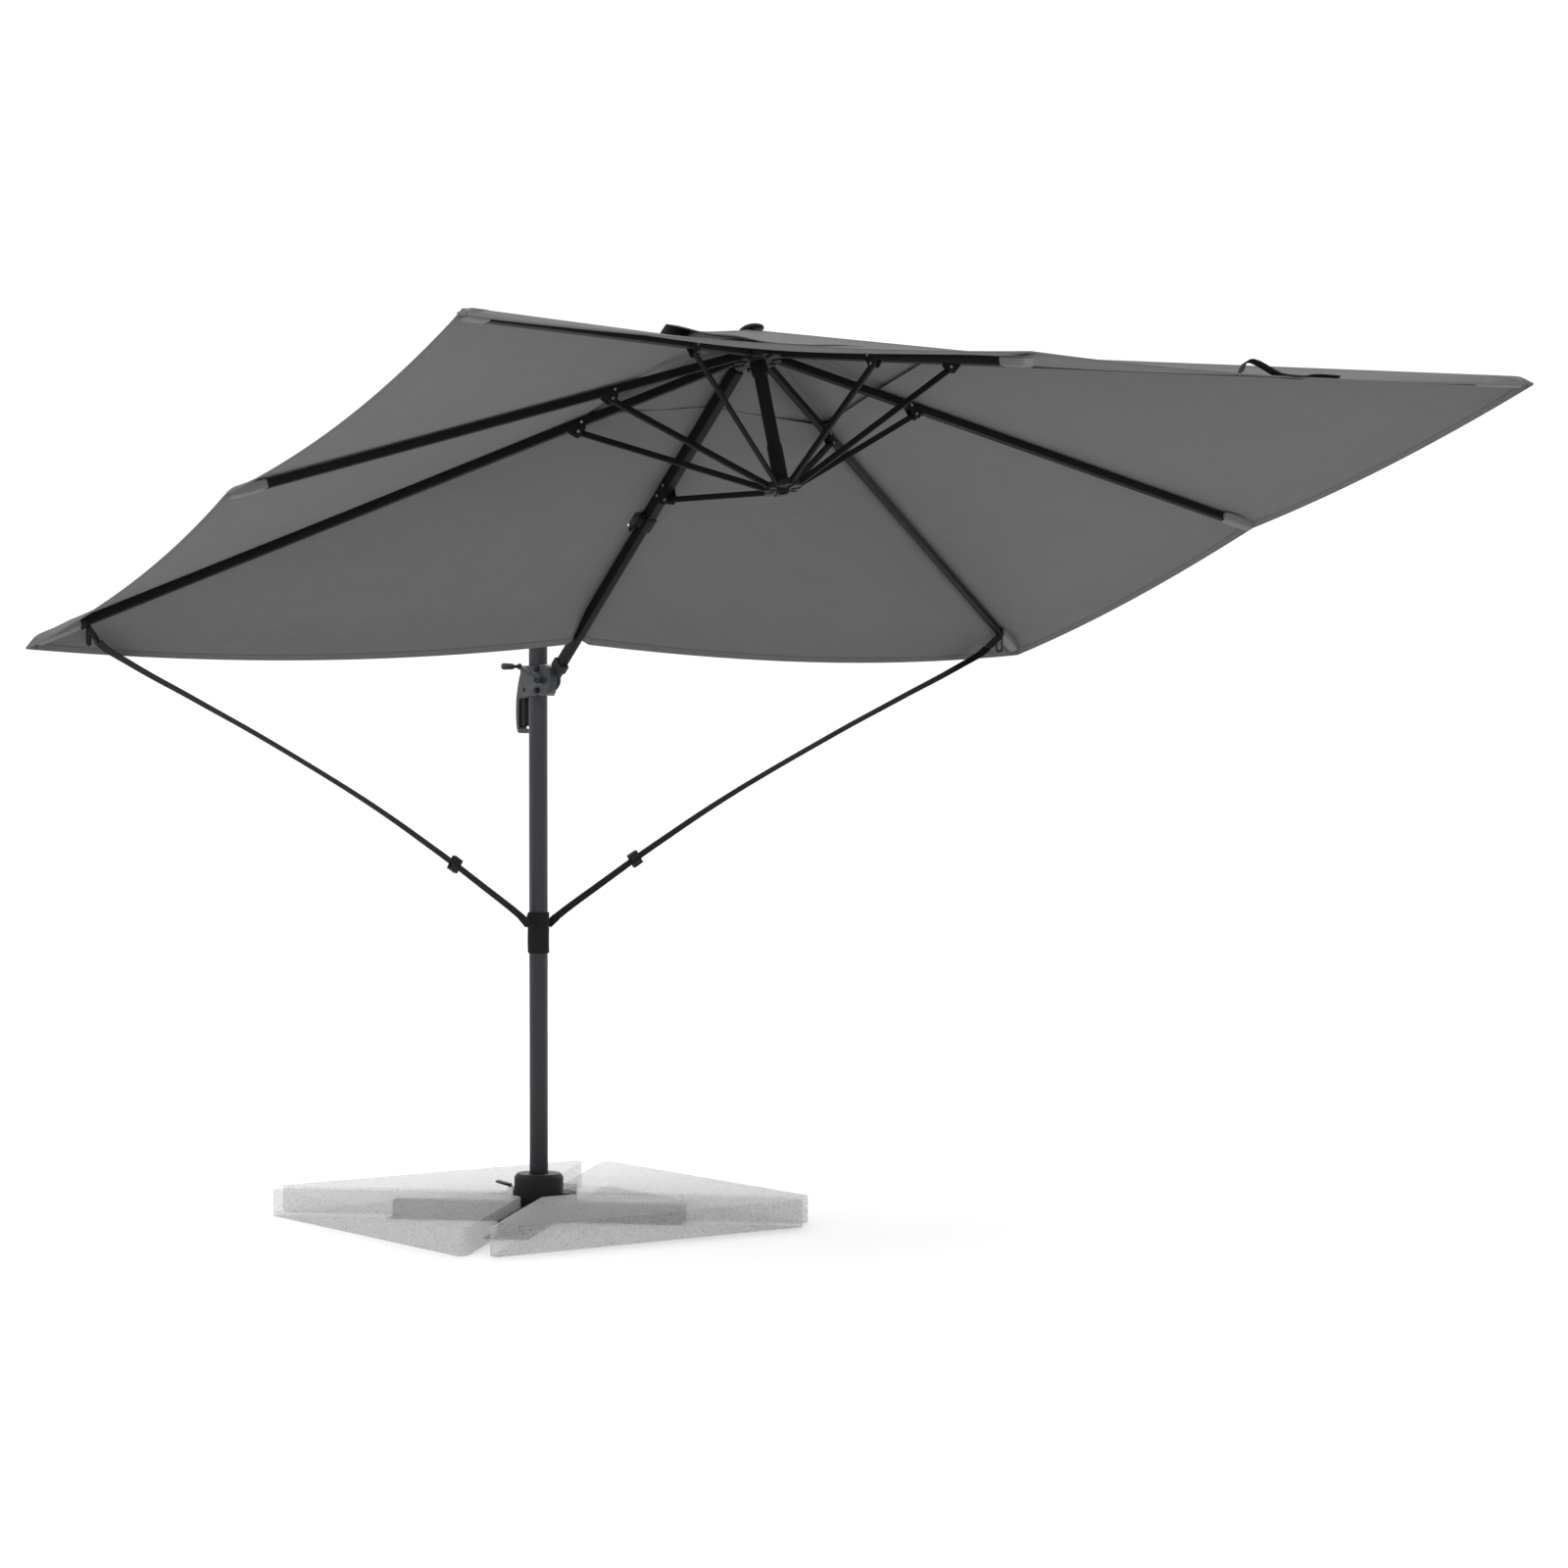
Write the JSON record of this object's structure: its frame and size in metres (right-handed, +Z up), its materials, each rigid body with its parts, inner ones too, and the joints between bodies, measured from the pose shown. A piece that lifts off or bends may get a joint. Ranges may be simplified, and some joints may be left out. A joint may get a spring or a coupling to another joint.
{
  "type": "cantilever parasol",
  "caption": "Cantilever parasol: a rectangular vented canopy on a cranked arm that slides on a side mast, standing on a cross foot weighted with stone slabs.",
  "frame": {"origin": "on the floor, on the mast's axis, under the middle of the cross foot", "axes": "+Z up, +X from the mast to the canopy's middle, +Y to the left of that"},
  "size_m": [2.5809, 3, 2.2499],
  "materials": {
    "anthracite": "satin",
    "black_paint": "satin",
    "black_plastic": "matte",
    "grey_plastic": "satin",
    "steel": "satin",
    "stone": "matte",
    "canopy_cloth": "matte",
    "webbing": "matte"
  },
  "bodies": {
    "base": {"cross_bar_lower": "black_paint", "cross_bar_upper": "black_paint", "slab_front": "stone", "slab_left": "stone", "slab_rear": "stone", "slab_right": "stone", "socket_flange": "steel", "swivel_bush": "black_plastic", "socket_cover": "black_plastic", "pedal_bracket": "steel"},
    "pedal": {"foot_pedal": "black_plastic"},
    "mast": {"mast_lower_tube": "anthracite", "mast_upper_tube": "anthracite", "mast_joint_sleeve": "steel", "brake_disc": "steel", "mast_top_bracket": "black_paint", "strap_sleeve": "webbing"},
    "carriage": {"carriage_shell_right": "grey_plastic", "carriage_shell_left": "grey_plastic", "carriage_bush": "black_plastic", "pivot_pin": "steel"},
    "trigger": {"grip_trigger": "black_plastic"},
    "crank": {"crank_handle": "grey_plastic", "crank_knob": "grey_plastic", "cord_drum": "black_plastic"},
    "arm": {"arm_knuckle": "black_plastic", "arm_lower_tube": "anthracite", "arm_upper_tube": "anthracite", "link_bracket": "black_paint", "arm_strut_bracket": "black_paint", "lift_cord": "webbing"},
    "link": {"link_rod": "black_paint"},
    "hub": {"top_hub": "black_plastic", "hub_pin": "steel", "centre_pole": "black_paint", "canopy": "canopy_cloth", "vent_cap": "canopy_cloth", "vent_finial": "black_plastic"},
    "runner": {"runner": "black_plastic"},
    "strut_rear": {"strut_rear": "black_paint"},
    "strap_left": {"strap_left": "webbing", "strap_buckle_left": "black_plastic"},
    "strap_right": {"strap_right": "webbing", "strap_buckle_right": "black_plastic"},
    "rib_front": {"rib_front": "black_paint"},
    "strut_front": {"strut_front": "black_paint"},
    "rib_front_left": {"rib_front_left": "black_paint"},
    "strut_front_left": {"strut_front_left": "black_paint"},
    "rib_left": {"rib_left": "black_paint"},
    "strut_left": {"strut_left": "black_paint"},
    "rib_rear_left": {"rib_rear_left": "black_paint", "strap_hook_left": "black_plastic"},
    "strut_rear_left": {"strut_rear_left": "black_paint"},
    "rib_rear_right": {"rib_rear_right": "black_paint", "strap_hook_right": "black_plastic"},
    "strut_rear_right": {"strut_rear_right": "black_paint"},
    "rib_right": {"rib_right": "black_paint"},
    "strut_right": {"strut_right": "black_paint"},
    "rib_front_right": {"rib_front_right": "black_paint"},
    "strut_front_right": {"strut_front_right": "black_paint"}
  },
  "joints": [
    {"name": "mast_swivel", "type": "hinge", "parent": "base", "child": "mast", "pos_m": [0, 0, 0.06], "axis": [0, 0, 1], "continuous": true},
    {"name": "brake_pedal", "type": "hinge", "parent": "base", "child": "pedal", "pos_m": [-0.05091, -0.05091, 0.062], "axis": [0.7071, -0.7071, 0], "range_deg": [0, 12], "stiffness_Nm_per_rad": 6, "springref_deg": -5.73},
    {"name": "carriage_slide", "type": "slide", "parent": "mast", "child": "carriage", "axis": [0, 0, 1], "range_m": [-0.2, 0.3]},
    {"name": "arm_tilt", "type": "hinge", "parent": "carriage", "child": "arm", "pos_m": [0.063, 0, 1.3986], "axis": [0, 1, 0], "range_deg": [-13.94, 20.89]},
    {"name": "link_swing", "type": "hinge", "parent": "mast", "child": "link", "pos_m": [0.063, -0.031, 2.22484], "axis": [0, -1, 0], "range_deg": [-13.94, 20.89]},
    {"name": "strap_swing_left", "type": "hinge", "parent": "mast", "child": "strap_left", "pos_m": [0, 0.0275, 0.765], "axis": [1, 0, 0], "range_deg": [-5.44, 8.13]},
    {"name": "strap_swing_right", "type": "hinge", "parent": "mast", "child": "strap_right", "pos_m": [0, -0.0275, 0.765], "axis": [-1, 0, 0], "range_deg": [-5.44, 8.13]},
    {"name": "grip_trigger_squeeze", "type": "hinge", "parent": "carriage", "child": "trigger", "pos_m": [-0.06, 0, 1.362], "axis": [0, 1, 0], "range_deg": [0, 7], "stiffness_Nm_per_rad": 2, "springref_deg": -8.59},
    {"name": "canopy_fold", "type": "hinge", "parent": "arm", "child": "hub", "pos_m": [0.91776, 0, 2.17093], "axis": [0, 1, 0], "range_deg": [0, 57], "deforming": ["canopy", "vent_cap", "strap_left", "strap_right", "strap_buckle_left", "strap_buckle_right"]},
    {"name": "rib_hinge_front", "type": "hinge", "parent": "hub", "child": "rib_front", "pos_m": [1.0143, 0, 2.18448], "axis": [0, 1, 0], "range_deg": [-0.05, 61.46]},
    {"name": "strut_hinge_front", "type": "hinge", "parent": "rib_front", "child": "strut_front", "pos_m": [1.4284, 0, 2.1241], "axis": [0, -1, 0], "range_deg": [-0.05, 126.63]},
    {"name": "rib_hinge_front_left", "type": "hinge", "parent": "hub", "child": "rib_front_left", "pos_m": [0.99426, 0.03974, 2.17795], "axis": [-0.7873, 0.5608, -0.2563], "range_deg": [-0.05, 68.4]},
    {"name": "strut_hinge_front_left", "type": "hinge", "parent": "rib_front_left", "child": "strut_front_left", "pos_m": [1.24379, 0.37379, 2.14235], "axis": [0.7873, -0.5608, 0.2563], "range_deg": [-0.05, 123.25]},
    {"name": "rib_hinge_left", "type": "hinge", "parent": "hub", "child": "rib_left", "pos_m": [0.96866, 0.048, 2.16962], "axis": [-0.9509, 0, -0.3095], "range_deg": [-0.05, 69.71]},
    {"name": "strut_hinge_left", "type": "hinge", "parent": "rib_left", "child": "strut_left", "pos_m": [1.00885, 0.44583, 2.04616], "axis": [0.9509, 0, 0.3095], "range_deg": [-0.05, 129.76]},
    {"name": "rib_hinge_rear_left", "type": "hinge", "parent": "hub", "child": "rib_rear_left", "pos_m": [0.94306, 0.03974, 2.16129], "axis": [-0.7873, -0.5608, -0.2563], "range_deg": [-0.05, 68.4]},
    {"name": "strut_hinge_rear_left", "type": "hinge", "parent": "rib_rear_left", "child": "strut_rear_left", "pos_m": [0.76229, 0.37379, 1.98563], "axis": [0.7873, 0.5608, 0.2563], "range_deg": [-0.05, 123.25]},
    {"name": "rib_hinge_rear_right", "type": "hinge", "parent": "hub", "child": "rib_rear_right", "pos_m": [0.94306, -0.03974, 2.16129], "axis": [0.7873, -0.5608, 0.2563], "range_deg": [-0.05, 68.4]},
    {"name": "strut_hinge_rear_right", "type": "hinge", "parent": "rib_rear_right", "child": "strut_rear_right", "pos_m": [0.76229, -0.37379, 1.98563], "axis": [-0.7873, 0.5608, -0.2563], "range_deg": [-0.05, 123.25]},
    {"name": "rib_hinge_right", "type": "hinge", "parent": "hub", "child": "rib_right", "pos_m": [0.96866, -0.048, 2.16962], "axis": [0.9509, 0, 0.3095], "range_deg": [-0.05, 69.71]},
    {"name": "strut_hinge_right", "type": "hinge", "parent": "rib_right", "child": "strut_right", "pos_m": [1.00885, -0.44583, 2.04616], "axis": [-0.9509, 0, -0.3095], "range_deg": [-0.05, 129.76]},
    {"name": "rib_hinge_front_right", "type": "hinge", "parent": "hub", "child": "rib_front_right", "pos_m": [0.99426, -0.03974, 2.17795], "axis": [0.7873, 0.5608, 0.2563], "range_deg": [-0.05, 68.4]},
    {"name": "strut_hinge_front_right", "type": "hinge", "parent": "rib_front_right", "child": "strut_front_right", "pos_m": [1.24379, -0.37379, 2.14235], "axis": [-0.7873, -0.5608, -0.2563], "range_deg": [-0.05, 123.25]},
    {"name": "strut_hinge_rear", "type": "hinge", "parent": "arm", "child": "strut_rear", "pos_m": [0.6002, 0, 1.84222], "axis": [0, 1, 0], "range_deg": [-0.05, 122.05]},
    {"name": "runner_slide", "type": "slide", "parent": "hub", "child": "runner", "axis": [0.3095, 0, -0.9509], "range_m": [-0.0005, 0.553]},
    {"name": "crank_turn", "type": "hinge", "parent": "carriage", "child": "crank", "pos_m": [0.063, 0, 1.3986], "axis": [0, 1, 0], "range_deg": [-0.5, 3249.5]}
  ],
  "couplings": [
    {"joint": "arm_tilt", "follows": "carriage_slide", "rad_per_m": 1.2122},
    {"joint": "link_swing", "follows": "carriage_slide", "rad_per_m": 1.2122},
    {"joint": "strap_swing_left", "follows": "carriage_slide", "rad_per_m": 0.47},
    {"joint": "strap_swing_right", "follows": "carriage_slide", "rad_per_m": 0.47},
    {"joint": "rib_hinge_front", "follows": "canopy_fold", "ratio": 1.0774},
    {"joint": "strut_hinge_front", "follows": "canopy_fold", "ratio": 2.2207},
    {"joint": "rib_hinge_front_left", "follows": "canopy_fold", "ratio": 1.1991},
    {"joint": "strut_hinge_front_left", "follows": "canopy_fold", "ratio": 2.1614},
    {"joint": "rib_hinge_left", "follows": "canopy_fold", "ratio": 1.2221},
    {"joint": "strut_hinge_left", "follows": "canopy_fold", "ratio": 2.2756},
    {"joint": "rib_hinge_rear_left", "follows": "canopy_fold", "ratio": 1.1991},
    {"joint": "strut_hinge_rear_left", "follows": "canopy_fold", "ratio": 2.1614},
    {"joint": "rib_hinge_rear_right", "follows": "canopy_fold", "ratio": 1.1991},
    {"joint": "strut_hinge_rear_right", "follows": "canopy_fold", "ratio": 2.1614},
    {"joint": "rib_hinge_right", "follows": "canopy_fold", "ratio": 1.2221},
    {"joint": "strut_hinge_right", "follows": "canopy_fold", "ratio": 2.2756},
    {"joint": "rib_hinge_front_right", "follows": "canopy_fold", "ratio": 1.1991},
    {"joint": "strut_hinge_front_right", "follows": "canopy_fold", "ratio": 2.1614},
    {"joint": "strut_hinge_rear", "follows": "canopy_fold", "ratio": 2.1404},
    {"joint": "runner_slide", "follows": "canopy_fold", "m_per_rad": 0.55537},
    {"joint": "crank_turn", "follows": "canopy_fold", "ratio": 57}
  ]
}
